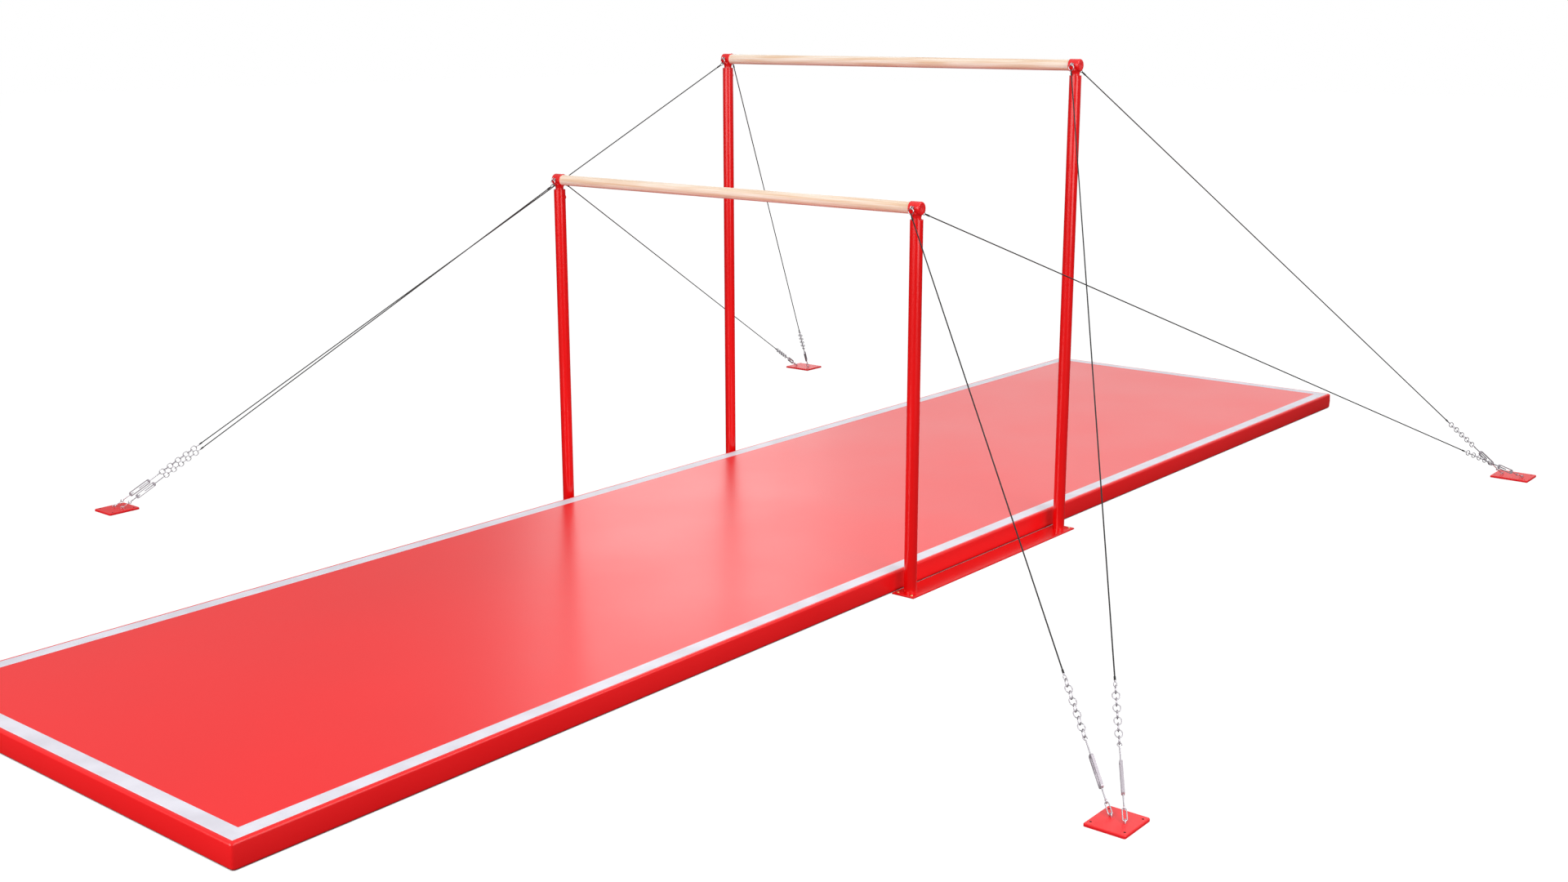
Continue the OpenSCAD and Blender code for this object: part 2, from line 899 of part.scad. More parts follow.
// Lower rod with its hook, and the long link that hangs in the plate's staple
module guy_hook(l) {
    color("#c3bfc6")
        on_line(l) {
            link(link_wire, long_link_width, long_link_pitch);
            translate([0, 0, hook_centre])
                mirror([0, 0, 1])
                    c_hook(hook_radius, link_wire);
            translate([0, 0, hook_top])
                cylinder(d = rod_d, h = lower_rod_tip - hook_top);
        }
}

module rope_low_left_front() {
    guy_rope(LINES[0]);
}

module chain_low_left_front() {
    guy_chain(LINES[0]);
}

module turnbuckle_low_left_front() {
    turnbuckle(LINES[0]);
}

module hook_low_left_front() {
    guy_hook(LINES[0]);
}

module rope_low_right_front() {
    guy_rope(LINES[1]);
}

module chain_low_right_front() {
    guy_chain(LINES[1]);
}

module turnbuckle_low_right_front() {
    turnbuckle(LINES[1]);
}

module hook_low_right_front() {
    guy_hook(LINES[1]);
}

module rope_low_left_back() {
    guy_rope(LINES[2]);
}

module chain_low_left_back() {
    guy_chain(LINES[2]);
}

module turnbuckle_low_left_back() {
    turnbuckle(LINES[2]);
}

module hook_low_left_back() {
    guy_hook(LINES[2]);
}

module rope_low_right_back() {
    guy_rope(LINES[3]);
}

module chain_low_right_back() {
    guy_chain(LINES[3]);
}

module turnbuckle_low_right_back() {
    turnbuckle(LINES[3]);
}

module hook_low_right_back() {
    guy_hook(LINES[3]);
}

module rope_high_left_front() {
    guy_rope(LINES[4]);
}

module chain_high_left_front() {
    guy_chain(LINES[4]);
}

module turnbuckle_high_left_front() {
    turnbuckle(LINES[4]);
}

module hook_high_left_front() {
    guy_hook(LINES[4]);
}

module rope_high_right_front() {
    guy_rope(LINES[5]);
}

module chain_high_right_front() {
    guy_chain(LINES[5]);
}

module turnbuckle_high_right_front() {
    turnbuckle(LINES[5]);
}

module hook_high_right_front() {
    guy_hook(LINES[5]);
}

module rope_high_left_back() {
    guy_rope(LINES[6]);
}

module chain_high_left_back() {
    guy_chain(LINES[6]);
}

module turnbuckle_high_left_back() {
    turnbuckle(LINES[6]);
}

module hook_high_left_back() {
    guy_hook(LINES[6]);
}

module rope_high_right_back() {
    guy_rope(LINES[7]);
}

module chain_high_right_back() {
    guy_chain(LINES[7]);
}

module turnbuckle_high_right_back() {
    turnbuckle(LINES[7]);
}

module hook_high_right_back() {
    guy_hook(LINES[7]);
}

mat_cover();
mat_foam_core();
mat_border_tape();
base_plate_left();
base_plate_right();
base_plate_bolts();
foot_spigots();
uprights_low();
uprights_high();
guide_bushes();
height_clamp_screws();
anchor_plates_front();
anchor_plates_back();
anchor_staples();
low_rail();
low_rail_core();
low_heads();
low_stems();
low_rail_bolts();
low_head_caps();
low_head_eyes();
high_rail();
high_rail_core();
high_heads();
high_stems();
high_rail_bolts();
high_head_caps();
high_head_eyes();
rope_low_left_front();
chain_low_left_front();
turnbuckle_low_left_front();
hook_low_left_front();
rope_low_right_front();
chain_low_right_front();
turnbuckle_low_right_front();
hook_low_right_front();
rope_low_left_back();
chain_low_left_back();
turnbuckle_low_left_back();
hook_low_left_back();
rope_low_right_back();
chain_low_right_back();
turnbuckle_low_right_back();
hook_low_right_back();
rope_high_left_front();
chain_high_left_front();
turnbuckle_high_left_front();
hook_high_left_front();
rope_high_right_front();
chain_high_right_front();
turnbuckle_high_right_front();
hook_high_right_front();
rope_high_left_back();
chain_high_left_back();
turnbuckle_high_left_back();
hook_high_left_back();
rope_high_right_back();
chain_high_right_back();
turnbuckle_high_right_back();
hook_high_right_back();
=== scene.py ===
import json
import math

import bmesh
import bpy
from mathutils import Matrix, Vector


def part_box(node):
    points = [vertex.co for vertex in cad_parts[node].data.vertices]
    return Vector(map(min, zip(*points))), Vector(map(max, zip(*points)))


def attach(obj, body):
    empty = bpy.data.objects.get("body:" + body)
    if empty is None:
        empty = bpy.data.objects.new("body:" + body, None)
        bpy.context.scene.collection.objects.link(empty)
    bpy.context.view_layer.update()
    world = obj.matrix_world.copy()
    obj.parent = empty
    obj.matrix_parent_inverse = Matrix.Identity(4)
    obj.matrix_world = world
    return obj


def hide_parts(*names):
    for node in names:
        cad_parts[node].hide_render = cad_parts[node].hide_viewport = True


# Lengths are in metres, and named angles are in degrees.
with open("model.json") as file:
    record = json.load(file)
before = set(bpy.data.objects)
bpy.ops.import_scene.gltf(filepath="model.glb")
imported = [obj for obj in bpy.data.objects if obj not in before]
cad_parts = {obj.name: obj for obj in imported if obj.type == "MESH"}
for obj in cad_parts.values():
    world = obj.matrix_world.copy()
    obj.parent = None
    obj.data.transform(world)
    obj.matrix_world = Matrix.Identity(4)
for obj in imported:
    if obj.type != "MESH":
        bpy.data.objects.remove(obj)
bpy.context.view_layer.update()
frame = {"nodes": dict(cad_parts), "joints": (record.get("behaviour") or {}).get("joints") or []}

# ---------------------------------------------------------------------------
# Camera. It stands to the right of the mat's front end, a little above the
# high rail, and looks down across the mat to the far left.
# ---------------------------------------------------------------------------
CAMERA_PLACE = (5.9076, -7.6247, 2.7552)
CAMERA_DIP = 13.4961
CAMERA_TURN = 38.9747

camera_data = bpy.data.cameras.new("camera")
camera_data.sensor_width = 36
camera_data.lens = 40.26
camera_data.clip_end = 200  # Past the floor's far edge.
camera = bpy.data.objects.new("camera", camera_data)
camera.location = CAMERA_PLACE
camera.rotation_euler = (math.radians(90 - CAMERA_DIP), 0, math.radians(CAMERA_TURN))
bpy.context.scene.collection.objects.link(camera)
bpy.context.scene.camera = camera

# ---------------------------------------------------------------------------
# Studio. White all round to the eye, but dim in reflections, with seven big
# softboxes. Glossy paint then carries long pale bands on a deep red.
# ---------------------------------------------------------------------------


def hex_linear(code):
    """sRGB hex colour to the linear colour that shaders take."""
    parts = [int(code[i:i + 2], 16) / 255 for i in (1, 3, 5)]
    return [c / 12.92 if c <= 0.04045 else ((c + 0.055) / 1.055) ** 2.4 for c in parts] + [1]


def add_node(tree, kind, settings=None, inputs=None, ramp=None):
    """Adds a shader node. An input is a value, or the socket that feeds it.
    A ramp is two stops in order, each a position and an sRGB colour."""
    node = tree.nodes.new("ShaderNode" + kind)
    for key, value in (settings or {}).items():
        setattr(node, key, value)
    for key, value in (inputs or {}).items():
        if isinstance(value, bpy.types.NodeSocket):
            tree.links.new(value, node.inputs[key])
        else:
            node.inputs[key].default_value = value
    if ramp:
        for stop, (position, colour) in zip(node.color_ramp.elements, ramp):
            stop.position, stop.color = position, hex_linear(colour)
    return node


WHITE = hex_linear("#FFFFFF")
REFLECTED_SKY = 0.44

world = bpy.data.worlds.new("studio")
world.use_nodes = True
sky = world.node_tree
sky.nodes.clear()
seen = add_node(sky, "LightPath").outputs["Is Camera Ray"]
dim_sky = add_node(sky, "Background", inputs={"Color": WHITE, "Strength": REFLECTED_SKY})
white_sky = add_node(sky, "Background", inputs={"Color": WHITE, "Strength": 1.0})
sky_mix = add_node(sky, "MixShader", inputs={
    0: seen, 1: dim_sky.outputs[0], 2: white_sky.outputs[0]})
add_node(sky, "OutputWorld", inputs={"Surface": sky_mix.outputs[0]})
bpy.context.scene.world = world
bpy.context.scene.view_settings.view_transform = "Standard"

FLOOR_HALF = 60
FLOOR_DROP = 0.0005
NARROW_GAP = 0.03
GAP_SHUT, GAP_OPEN = 0.15, 0.42
FLOOR_GLOW = 0.95
OCCLUSION_SAMPLES = 8
floor_mesh = bpy.data.meshes.new("floor")
floor_mesh.from_pydata(
    [(x * FLOOR_HALF, y * FLOOR_HALF, -FLOOR_DROP)
     for x, y in ((-1, -1), (1, -1), (1, 1), (-1, 1))],
    [], [(0, 1, 2, 3)])
floor = bpy.data.objects.new("floor", floor_mesh)
bpy.context.scene.collection.objects.link(floor)

# Matt white floor paint. A glow of its own keeps the shadows faint, and fades in gaps
# too narrow for light to reach. Reflections see the paint as grey.
floor_paint = bpy.data.materials.new("matt_white_floor_paint")
floor_paint.use_nodes = True
tree = floor_paint.node_tree
tree.nodes.clear()
floor_grey = add_node(tree, "BsdfDiffuse", inputs={"Color": hex_linear("#525252")})
floor_white = add_node(tree, "BsdfDiffuse", inputs={"Color": hex_linear("#626262")})
floor_open = add_node(tree, "AmbientOcclusion", {"samples": OCCLUSION_SAMPLES}, {
    "Distance": NARROW_GAP})
floor_strength = add_node(tree, "MapRange", inputs={
    "Value": floor_open.outputs["AO"], "From Min": GAP_SHUT, "From Max": GAP_OPEN,
    "To Min": 0.0, "To Max": FLOOR_GLOW})
floor_glow = add_node(tree, "Emission", inputs={
    "Color": WHITE, "Strength": floor_strength.outputs["Result"]})
floor_lit = add_node(tree, "AddShader", inputs={
    0: floor_white.outputs[0], 1: floor_glow.outputs[0]})
floor_mix = add_node(tree, "MixShader", inputs={
    0: add_node(tree, "LightPath").outputs["Is Camera Ray"],
    1: floor_grey.outputs[0], 2: floor_lit.outputs[0]})
add_node(tree, "OutputMaterial", inputs={"Surface": floor_mix.outputs[0]})
floor_mesh.materials.append(floor_paint)


def softbox(name, location, target, size, power):
    """A flat rectangular lamp that faces its target. Its power is in watts."""
    light = bpy.data.lights.new(name, "AREA")
    light.shape = "RECTANGLE"
    light.size, light.size_y = size
    light.energy = power
    lamp = bpy.data.objects.new(name, light)
    lamp.location = location
    lamp.rotation_euler = (Vector(target) - Vector(location)).to_track_quat("-Z", "Y").to_euler()
    lamp.visible_camera = False
    bpy.context.scene.collection.objects.link(lamp)


softbox("overhead_softbox", (0, 1, 9), (0, 1, 0), (10, 14), 110)
softbox("horizon_softbox", (-9.6, 18.2, 7.2), (0, 0, 0.5), (17, 12), 500)
softbox("back_softbox", (-13.0, 13.0, 7.4), (0, 0, 0.5), (4.6, 7), 105)
softbox("front_softbox", (-0.8, -14, 3.2), (0, -3, 0.6), (12, 5.6), 560)
softbox("high_front_softbox", (-1, -13, 8), (0, -1, 0), (10, 6), 640)
softbox("side_softbox", (9, -3, 2.9), (0, -0.5, 0.8), (5, 5), 220)
softbox("high_side_softbox", (9, 2, 8), (0, 1, 0), (9, 6), 470)

# ---------------------------------------------------------------------------
# Landing mat, the filling: five blocks of pale open-cell polyurethane foam,
# cut with a hot wire and glued end to end.
# ---------------------------------------------------------------------------


def start_material(name, colour, roughness, metallic=0.0, ior=1.5):
    """A node material. Returns it with its tree and its Principled shader."""
    material = bpy.data.materials.new(name)
    material.use_nodes = True
    tree = material.node_tree
    tree.nodes.clear()
    shader = add_node(tree, "BsdfPrincipled", inputs={
        "Base Color": hex_linear(colour), "Roughness": roughness,
        "Metallic": metallic, "IOR": ior})
    add_node(tree, "OutputMaterial", inputs={"Surface": shader.outputs[0]})
    return material, tree, shader


def mesh_object(name, bm, material, body, smooth=True):
    """Turns a bmesh into a piece with one material that rides on a body."""
    mesh = bpy.data.meshes.new(name)
    bm.normal_update()
    bm.to_mesh(mesh)
    bm.free()
    mesh.materials.append(material)
    for polygon in mesh.polygons:
        polygon.use_smooth = smooth
    piece = bpy.data.objects.new(name, mesh)
    bpy.context.scene.collection.objects.link(piece)
    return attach(piece, body)


FOAM_CELL = 0.004
FOAM_BLOCKS = 5
FOAM_GLUE_GAP = 0.0003
FOAM_EDGE = 0.006
FOAM_EDGE_STEPS = 3
FOAM_PORE_DEPTH = 0.001

foam, tree, shader = start_material("hot_wire_cut_polyurethane_foam", "#E9DBA6", 0.95)
cells = add_node(tree, "TexVoronoi", inputs={
    "Vector": add_node(tree, "TexCoord").outputs["Object"], "Scale": 1 / FOAM_CELL})
foam_tone = add_node(tree, "ValToRGB", inputs={"Fac": cells.outputs["Distance"]},
                     ramp=((0.0, "#C9B877"), (0.6, "#EBDDAA")))
tree.links.new(foam_tone.outputs["Color"], shader.inputs["Base Color"])
foam_pores = add_node(tree, "Bump", inputs={
    "Height": cells.outputs["Distance"], "Distance": FOAM_PORE_DEPTH, "Strength": 0.6})
tree.links.new(foam_pores.outputs["Normal"], shader.inputs["Normal"])

low, high = (Vector(c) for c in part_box("mat_foam_core"))
block_length = (high.y - low.y + FOAM_GLUE_GAP) / FOAM_BLOCKS
foam_bm = bmesh.new()
for i in range(FOAM_BLOCKS):
    block = bmesh.ops.create_cube(foam_bm, size=1)["verts"]
    size = Vector((high.x - low.x, block_length - FOAM_GLUE_GAP, high.z - low.z))
    corner = Vector((low.x, low.y + i * block_length, low.z))
    bmesh.ops.scale(foam_bm, vec=size, verts=block)
    bmesh.ops.translate(foam_bm, vec=corner + size / 2, verts=block)
bmesh.ops.bevel(foam_bm, geom=foam_bm.edges[:], offset=FOAM_EDGE, segments=FOAM_EDGE_STEPS,
                affect="EDGES")
foam_core = mesh_object("mat_foam_blocks", foam_bm, foam, "base", smooth=False)
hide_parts("mat_foam_core")

# ---------------------------------------------------------------------------
# The mat's cover: polyester cloth coated with soft red PVC, welded along its
# edges and drawn tight over the foam. The coat is smooth, with a faint sheen
# and a fine calendered grain, and the walls bulge a little at half height.
# ---------------------------------------------------------------------------
COVER_EDGE = 0.011
COVER_CORNER = 0.014
COVER_FLAT = 0.002
COVER_BULGE = 0.0015
COVER_CREASE = 40
ARC_STEPS = 6
GRAIN = 0.0015
SLOW_WAVES = 0.45
SLOW_WAVE_HEIGHT = 0.003
COVER_CLOUD = 0.9091
CLOUD_LOW, CLOUD_HIGH = 0.15, 0.85
FINE_RELIEF = 0.0001  # Every fine grain and tool mark below is this high at full strength.

cover, tree, shader = start_material("calendered_red_pvc_cloth", "#E8171C", 0.34)
place = add_node(tree, "TexCoord").outputs["Object"]
cover_tone = add_node(tree, "TexNoise", inputs={
    "Vector": place, "Scale": 1 / COVER_CLOUD, "Detail": 5.0})
cover_colour = add_node(tree, "ValToRGB", inputs={"Fac": cover_tone.outputs["Fac"]},
                        ramp=((CLOUD_LOW, "#F01216"), (CLOUD_HIGH, "#F6181C")))
cover_colour.color_ramp.interpolation = "EASE"
tree.links.new(cover_colour.outputs["Color"], shader.inputs["Base Color"])
cover_polish = add_node(tree, "MapRange", {"interpolation_type": "SMOOTHSTEP"}, {
    "Value": cover_tone.outputs["Fac"], "From Min": CLOUD_LOW, "From Max": CLOUD_HIGH,
    "To Min": 0.27, "To Max": 0.33})
tree.links.new(cover_polish.outputs["Result"], shader.inputs["Roughness"])
grain = add_node(tree, "TexNoise", inputs={"Vector": place, "Scale": 1 / GRAIN, "Detail": 2.0})
grain_relief = add_node(tree, "Bump", inputs={
    "Height": grain.outputs["Fac"], "Distance": FINE_RELIEF, "Strength": 0.15})
waves = add_node(tree, "TexNoise", inputs={
    "Vector": place, "Scale": 1 / SLOW_WAVES, "Detail": 1.0})
wave_relief = add_node(tree, "Bump", inputs={
    "Height": waves.outputs["Fac"], "Distance": SLOW_WAVE_HEIGHT, "Strength": 0.25,
    "Normal": grain_relief.outputs["Normal"]})
tree.links.new(wave_relief.outputs["Normal"], shader.inputs["Normal"])

high = Vector(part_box("mat_cover")[1])
cover_top = high.z


def rounded_ring(half_x, half_y, radius, z):
    """Points of a rectangle with round corners, counter-clockwise from the right front."""
    points = []
    for i, (sx, sy) in enumerate(((1, -1), (1, 1), (-1, 1), (-1, -1))):
        for step in range(ARC_STEPS + 1):
            turn = math.radians(90 * (i - 1) + 90 * step / ARC_STEPS)
            points.append((sx * (half_x - radius) + radius * math.cos(turn),
                           sy * (half_y - radius) + radius * math.sin(turn), z))
    return points


def stack_rings(bm, rings):
    """Skins rings of points, and returns their vertices."""
    verts = [[bm.verts.new(p) for p in ring] for ring in rings]
    for lower, upper in zip(verts, verts[1:]):
        for i in range(len(lower)):
            j = (i + 1) % len(lower)
            bm.faces.new((lower[i], lower[j], upper[j], upper[i]))
    return verts


# A narrow flat border inside each rounded edge, so that the big faces shade as flat.
outline = [(COVER_EDGE + COVER_FLAT, 0)]
for step in range(ARC_STEPS + 1):
    turn = math.radians(-90 + 90 * step / ARC_STEPS)
    outline.append((COVER_EDGE * (1 - math.cos(turn)), COVER_EDGE * (1 + math.sin(turn))))
outline.append((-COVER_BULGE, cover_top / 2))
for step in range(ARC_STEPS + 1):
    turn = math.radians(90 * step / ARC_STEPS)
    outline.append((COVER_EDGE * (1 - math.cos(turn)),
                    cover_top - COVER_EDGE * (1 - math.sin(turn))))
outline.append((COVER_EDGE + COVER_FLAT, cover_top))
cover_bm = bmesh.new()
cover_verts = stack_rings(cover_bm, [
    rounded_ring(high.x - COVER_BULGE - inset, high.y - COVER_BULGE - inset, COVER_CORNER, z)
    for inset, z in outline])
cover_bm.faces.new(cover_verts[-1])
cover_bm.faces.new(reversed(cover_verts[0]))
mat_skin = mesh_object("mat_cover_skin", cover_bm, cover, "base")
mat_skin.data.set_sharp_from_angle(angle=math.radians(COVER_CREASE))
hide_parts("mat_cover")

# ---------------------------------------------------------------------------
# Border tape: a white PVC strip, heat-welded to the cover as a frame just
# inside its edge, mitred at the corners, with soft pressed-down borders.
# ---------------------------------------------------------------------------
TAPE_WIDTH = 0.070
TAPE_PRESS = 0.003
TAPE_SUNK = 0.0002
TAPE_RIM = 0.0003
TAPE_THREAD = 0.000754
TAPE_SCUFF = 0.16667
WAVE_PITCH = math.pi / 10  # A wave texture of scale 1 repeats after this length.

tape, tree, shader = start_material("welded_white_pvc_tape", "#E4E2EC", 0.42)
place = add_node(tree, "TexCoord").outputs["Object"]
threads_x = add_node(tree, "TexWave", {"bands_direction": "X"}, {
    "Vector": place, "Scale": WAVE_PITCH / TAPE_THREAD})
threads_y = add_node(tree, "TexWave", {"bands_direction": "Y"}, {
    "Vector": place, "Scale": WAVE_PITCH / TAPE_THREAD})
threads = add_node(tree, "Math", {"operation": "MULTIPLY"}, {
    0: threads_x.outputs["Fac"], 1: threads_y.outputs["Fac"]})
tape_relief = add_node(tree, "Bump", inputs={
    "Height": threads.outputs[0], "Distance": FINE_RELIEF, "Strength": 0.3})
tree.links.new(tape_relief.outputs["Normal"], shader.inputs["Normal"])
scuffs = add_node(tree, "TexNoise", inputs={
    "Vector": place, "Scale": 1 / TAPE_SCUFF, "Detail": 6.0})
tape_tone = add_node(tree, "ValToRGB", inputs={"Fac": scuffs.outputs["Fac"]},
                     ramp=((0.35, "#D9D6E0"), (0.6, "#E6E4EE")))
tree.links.new(tape_tone.outputs["Color"], shader.inputs["Base Color"])

high = Vector(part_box("mat_border_tape")[1])
tape_low = cover_top - TAPE_SUNK
tape_bm = bmesh.new()
tape_rings = []
for inset, z in ((0, tape_low), (0, tape_low + TAPE_RIM), (TAPE_PRESS, high.z),
                 (TAPE_WIDTH - TAPE_PRESS, high.z), (TAPE_WIDTH, tape_low + TAPE_RIM),
                 (TAPE_WIDTH, tape_low)):
    tape_rings.append([(sx * (high.x - inset), sy * (high.y - inset), z)
                       for sx, sy in ((1, -1), (1, 1), (-1, 1), (-1, -1))])
tape_verts = stack_rings(tape_bm, tape_rings)
for i in range(4):
    j = (i + 1) % 4
    tape_bm.faces.new((tape_verts[-1][i], tape_verts[-1][j], tape_verts[0][j], tape_verts[0][i]))
border_tape = mesh_object("mat_border_tape_strip", tape_bm, tape, "base", smooth=False)
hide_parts("mat_border_tape")

# ---------------------------------------------------------------------------
# Base plates, foot spigots, upright tubes and stems: mild steel, welded and
# sprayed with gloss red enamel. The coat has a faint orange peel.
# ---------------------------------------------------------------------------
ORANGE_PEEL = 0.004
ENAMEL_CLOUD = 0.33333
ENAMEL_SKIN_ROUGHNESS = 0.08
NOISE_LOW, NOISE_HIGH = 0.3, 0.7  # Noise seldom leaves this range.


def enamel(name, dark, light, roughness, coat):
    """Sprayed gloss enamel: a slow change of tone under a clear, slightly uneven skin."""
    material, tree, shader = start_material(name, light, roughness)
    place = add_node(tree, "TexCoord").outputs["Object"]
    tone = add_node(tree, "TexNoise", inputs={
        "Vector": place, "Scale": 1 / ENAMEL_CLOUD, "Detail": 4.0})
    colour = add_node(tree, "ValToRGB", inputs={"Fac": tone.outputs["Fac"]},
                      ramp=((NOISE_LOW, dark), (NOISE_HIGH, light)))
    tree.links.new(colour.outputs["Color"], shader.inputs["Base Color"])
    peel = add_node(tree, "TexNoise", inputs={
        "Vector": place, "Scale": 1 / ORANGE_PEEL, "Detail": 1.0})
    relief = add_node(tree, "Bump", inputs={
        "Height": peel.outputs["Fac"], "Distance": FINE_RELIEF, "Strength": 0.12})
    tree.links.new(relief.outputs["Normal"], shader.inputs["Normal"])
    shader.inputs["Coat Weight"].default_value = coat
    shader.inputs["Coat Roughness"].default_value = ENAMEL_SKIN_ROUGHNESS
    return material


def dress(material, *names):
    """Gives a material to nodes whose own shape stays."""
    for name in names:
        mesh = frame["nodes"][name].data
        mesh.materials.clear()
        mesh.materials.append(material)


red_enamel = enamel("sprayed_gloss_red_enamel", "#E20507", "#EA0709", 0.22, 0.35)
dress(red_enamel, "base_plate_left", "base_plate_right", "foot_spigots", "uprights_low",
      "uprights_high", "low_stems", "high_stems")

# ---------------------------------------------------------------------------
# Base plate bolts: button-head steel bolts, zinc plated and yellow passivated,
# which leaves a golden, slightly rainbow-stained metal.
# ---------------------------------------------------------------------------
ZINC_STAIN = 0.011111

yellow_zinc, tree, shader = start_material(
    "yellow_passivated_zinc", "#DDBB72", 0.34, metallic=1.0)
place = add_node(tree, "TexCoord").outputs["Object"]
stain = add_node(tree, "TexNoise", inputs={
    "Vector": place, "Scale": 1 / ZINC_STAIN, "Detail": 3.0})
stain_colour = add_node(tree, "ValToRGB", inputs={"Fac": stain.outputs["Fac"]},
                        ramp=((0.35, "#D8A95C"), (0.65, "#EBD9A4")))
tree.links.new(stain_colour.outputs["Color"], shader.inputs["Base Color"])
dress(yellow_zinc, "base_plate_bolts")

# ---------------------------------------------------------------------------
# Guide bushes: turned black nylon, pressed into the tubes' tops. Faint lathe
# rings run round the rim.
# ---------------------------------------------------------------------------
LATHE_RING = 0.000503

nylon, tree, shader = start_material("turned_black_nylon", "#1D1011", 0.5, ior=1.53)
lathe = add_node(tree, "TexWave", {"wave_type": "BANDS", "bands_direction": "Z"}, {
    "Vector": add_node(tree, "TexCoord").outputs["Object"], "Scale": WAVE_PITCH / LATHE_RING})
lathe_relief = add_node(tree, "Bump", inputs={
    "Height": lathe.outputs["Fac"], "Distance": FINE_RELIEF, "Strength": 0.4})
tree.links.new(lathe_relief.outputs["Normal"], shader.inputs["Normal"])
dress(nylon, "guide_bushes")

# ---------------------------------------------------------------------------
# Clamp screws and rail bolts: plain machined steel under a thin oil film,
# grey and softly shining, with a trace of turning marks.
# ---------------------------------------------------------------------------
DULLEST, BRIGHTEST = 1.25, 0.8  # Shares of a steel's roughness.


def worked_steel(name, dark, light, roughness, mark, strength, metallic=1.0):
    """Bare or thinly plated steel with fine tool or polishing marks of a real width."""
    material, tree, shader = start_material(name, light, roughness, metallic)
    place = add_node(tree, "TexCoord").outputs["Object"]
    marks = add_node(tree, "TexNoise", inputs={
        "Vector": place, "Scale": 1 / mark, "Detail": 3.0})
    colour = add_node(tree, "ValToRGB", inputs={"Fac": marks.outputs["Fac"]},
                      ramp=((NOISE_LOW, dark), (NOISE_HIGH, light)))
    tree.links.new(colour.outputs["Color"], shader.inputs["Base Color"])
    polish = add_node(tree, "MapRange", inputs={
        "Value": marks.outputs["Fac"], "From Min": NOISE_LOW, "From Max": NOISE_HIGH,
        "To Min": roughness * DULLEST, "To Max": roughness * BRIGHTEST})
    tree.links.new(polish.outputs["Result"], shader.inputs["Roughness"])
    relief = add_node(tree, "Bump", inputs={
        "Height": marks.outputs["Fac"], "Distance": FINE_RELIEF, "Strength": strength})
    tree.links.new(relief.outputs["Normal"], shader.inputs["Normal"])
    return material


machined_steel = worked_steel(
    "machined_oiled_steel", "#77797D", "#A3A5A9", roughness=0.36, mark=0.0012, strength=0.25)
dress(machined_steel, "height_clamp_screws", "low_rail_bolts", "high_rail_bolts")

# ---------------------------------------------------------------------------
# Heads: cast iron barrels with a flared neck, ground smooth and enamelled a
# shade lighter than the tubes. Their round end plugs are moulded ABS.
# ---------------------------------------------------------------------------
SPARK_TEXTURE = 0.0008
PLASTIC_FLOW = 0.025

head_enamel = enamel("enamelled_casting_red", "#E40C0F", "#EE1216", 0.22, 0.35)
dress(head_enamel, "low_heads", "high_heads")

plug_abs, tree, shader = start_material("moulded_red_abs", "#E8262A", 0.28, ior=1.54)
place = add_node(tree, "TexCoord").outputs["Object"]
spark = add_node(tree, "TexNoise", inputs={
    "Vector": place, "Scale": 1 / SPARK_TEXTURE, "Detail": 2.0})
spark_relief = add_node(tree, "Bump", inputs={
    "Height": spark.outputs["Fac"], "Distance": FINE_RELIEF, "Strength": 0.1})
tree.links.new(spark_relief.outputs["Normal"], shader.inputs["Normal"])
flow = add_node(tree, "TexNoise", inputs={
    "Vector": place, "Scale": 1 / PLASTIC_FLOW, "Detail": 2.0})
flow_colour = add_node(tree, "ValToRGB", inputs={"Fac": flow.outputs["Fac"]},
                       ramp=((0.0, "#E02226"), (1.0, "#F02E31")))
tree.links.new(flow_colour.outputs["Color"], shader.inputs["Base Color"])
dress(plug_abs, "low_head_caps", "high_head_caps")

# ---------------------------------------------------------------------------
# Head eyes and rings: drop-forged steel, polished and chromed, clear and
# bright with only a breath of haze.
# ---------------------------------------------------------------------------
bright_chrome = worked_steel(
    "polished_chrome_plate", "#C4C4C8", "#DEDEE2", roughness=0.10, mark=0.003, strength=0.05)
dress(bright_chrome, "low_head_eyes", "high_head_eyes")

# ---------------------------------------------------------------------------
# Rails: a glass-fibre rod sheathed in laminated ash, turned round, sanded and
# left almost bare so that chalk holds. Long pale grain runs from end to end.
# ---------------------------------------------------------------------------
GRAIN_WIDTH = 0.0035
GRAIN_LENGTH = 0.45
PORE_WIDTH = 0.0006
PORE_LENGTH = 0.02
STAVE_WIDTH = 0.018
STAVE_LENGTH = 0.35
ROVING_WIDTH = 0.0007
ROVING_LENGTH = 0.3

ash, tree, shader = start_material("sanded_ash_veneer", "#F3D9BC", 0.42, ior=1.48)


def stretched(tree, width, length):
    """Object coordinates squeezed so that a unit pattern is that wide and long along X."""
    return add_node(tree, "Mapping", inputs={
        "Vector": add_node(tree, "TexCoord").outputs["Object"],
        "Scale": (1 / length, 1 / width, 1 / width)}).outputs["Vector"]


